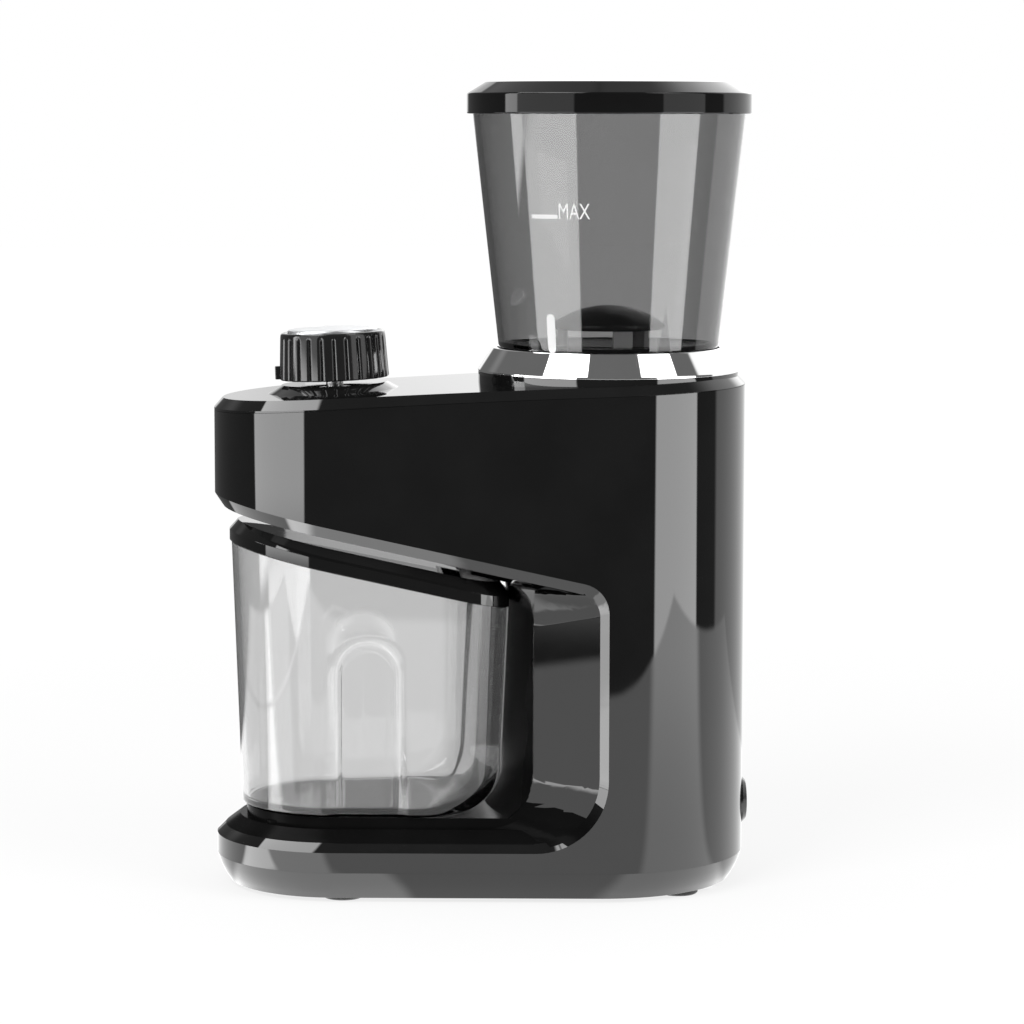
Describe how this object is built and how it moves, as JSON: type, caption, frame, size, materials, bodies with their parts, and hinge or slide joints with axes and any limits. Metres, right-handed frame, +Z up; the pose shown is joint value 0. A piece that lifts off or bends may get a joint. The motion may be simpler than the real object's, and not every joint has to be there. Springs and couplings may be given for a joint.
{
  "type": "burr coffee grinder",
  "caption": "Electric burr coffee grinder: C-shaped gloss housing with a bay for a clear grounds container, a fluted selector knob and a conical bean hopper with a lid.",
  "frame": {"origin": "on the ground, in the middle of the part's box", "axes": "+Z up, the bay and knob face -Y, the hopper stands at +Y"},
  "size_m": [0.1002, 0.186, 0.28],
  "materials": {
    "gloss_black": "gloss",
    "black_plastic": "satin",
    "smoke_clear": "gloss",
    "chrome": "polished",
    "spun_aluminium": "brushed",
    "rubber": "matte",
    "steel": "satin",
    "brass": "satin",
    "gear_nylon": "satin",
    "board_green": "satin",
    "terminal_green": "satin"
  },
  "bodies": {
    "housing": {"main_housing": "gloss_black", "base_plate": "gloss_black", "rubber_feet": "rubber", "base_screws": "steel", "cord_inlet": "black_plastic", "top_cover": "gloss_black", "chrome_ring": "chrome", "timer_switch": "black_plastic", "grind_chamber": "black_plastic", "grounds_chute": "black_plastic", "motor_frame": "steel", "gearbox_housing": "black_plastic", "gearbox_cover": "black_plastic", "lower_bearing": "brass", "upper_bearing": "brass", "idler_pin": "steel", "motor_can": "steel", "motor_end_cap": "black_plastic", "motor_screws": "steel", "frame_screws": "steel", "chamber_screws": "steel", "control_board": "board_green", "board_screws": "steel", "relay": "black_plastic", "capacitor": "spun_aluminium", "terminal_block": "terminal_green"},
    "burr_adjustment": {"burr_adjuster": "black_plastic", "ring_burr": "steel"},
    "hopper": {"bean_hopper": "smoke_clear", "guard_cap": "black_plastic"},
    "lid": {"hopper_lid": "gloss_black"},
    "knob": {"selector_knob": "black_plastic", "knob_disc": "spun_aluminium", "timer_shaft": "steel"},
    "container": {"grounds_container": "smoke_clear"},
    "container_cover": {"container_lid": "gloss_black"},
    "burr_drive": {"burr_shaft": "steel", "cone_burr": "steel", "burr_nut": "steel", "sweeper": "black_plastic", "drive_gear": "gear_nylon"},
    "idler": {"idler_gear": "gear_nylon"},
    "rotor": {"motor_shaft": "steel", "motor_pinion": "brass", "motor_armature": "steel"}
  },
  "joints": [
    {"name": "adjuster_turn", "type": "hinge", "parent": "housing", "child": "burr_adjustment", "pos_m": [0, 0.0438, 0.17], "axis": [0, 0, 1], "range_deg": [-60, 60]},
    {"name": "hopper_lift", "type": "slide", "parent": "burr_adjustment", "child": "hopper", "axis": [0, 0, 1], "range_m": [0, 0.07]},
    {"name": "lid_lift", "type": "slide", "parent": "hopper", "child": "lid", "axis": [0, 0, 1], "range_m": [0, 0.08]},
    {"name": "knob_turn", "type": "hinge", "parent": "housing", "child": "knob", "pos_m": [0, -0.0512, 0.17251], "axis": [0, -0.0384, 0.9993], "range_deg": [-150, 150]},
    {"name": "container_slide", "type": "slide", "parent": "housing", "child": "container", "axis": [0, -1, 0], "range_m": [0, 0.13]},
    {"name": "container_cover_lift", "type": "slide", "parent": "container", "child": "container_cover", "axis": [0, 0, 1], "range_m": [0, 0.0285]},
    {"name": "burr_spin", "type": "hinge", "parent": "housing", "child": "burr_drive", "pos_m": [0, 0.0438, 0.12], "axis": [0, 0, 1], "continuous": true},
    {"name": "idler_spin", "type": "hinge", "parent": "housing", "child": "idler", "pos_m": [0.0224, 0.0606, 0.11], "axis": [0, 0, 1], "continuous": true},
    {"name": "rotor_spin", "type": "hinge", "parent": "housing", "child": "rotor", "pos_m": [0.00519, 0.06426, 0.08], "axis": [0, 0, 1], "continuous": true}
  ],
  "couplings": [
    {"joint": "container_cover_lift", "follows": "container_slide", "ratio": 0.2165},
    {"joint": "idler_spin", "follows": "burr_spin", "ratio": -3.6667},
    {"joint": "rotor_spin", "follows": "burr_spin", "ratio": 12.467}
  ]
}
